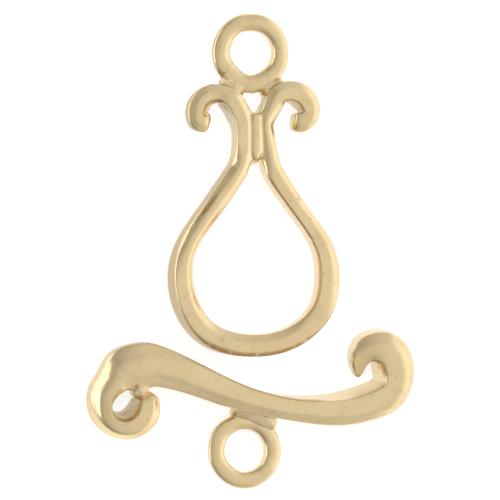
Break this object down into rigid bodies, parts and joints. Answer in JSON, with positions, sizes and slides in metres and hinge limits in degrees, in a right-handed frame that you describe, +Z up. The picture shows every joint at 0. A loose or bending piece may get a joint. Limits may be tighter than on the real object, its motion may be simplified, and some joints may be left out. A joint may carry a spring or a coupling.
{
  "type": "toggle clasp",
  "caption": "Jewellery toggle clasp: a pear-shaped wire loop with curled horns and a scrolled S-shaped bar, each with a soldered eyelet for a chain.",
  "frame": {"origin": "middle of the footprint of both halves, on the surface that they lie on", "axes": "+X to the right along the bar, +Y from the bar's eyelet to the loop's eyelet, +Z up off the surface"},
  "size_m": [0.0214, 0.0296, 0.0022],
  "materials": {
    "gold": "polished pale gold plate over cast brass, with small casting pits"
  },
  "bodies": {
    "root": {"clasp_loop": "gold", "toggle_bar": "gold"}
  },
  "joints": []
}
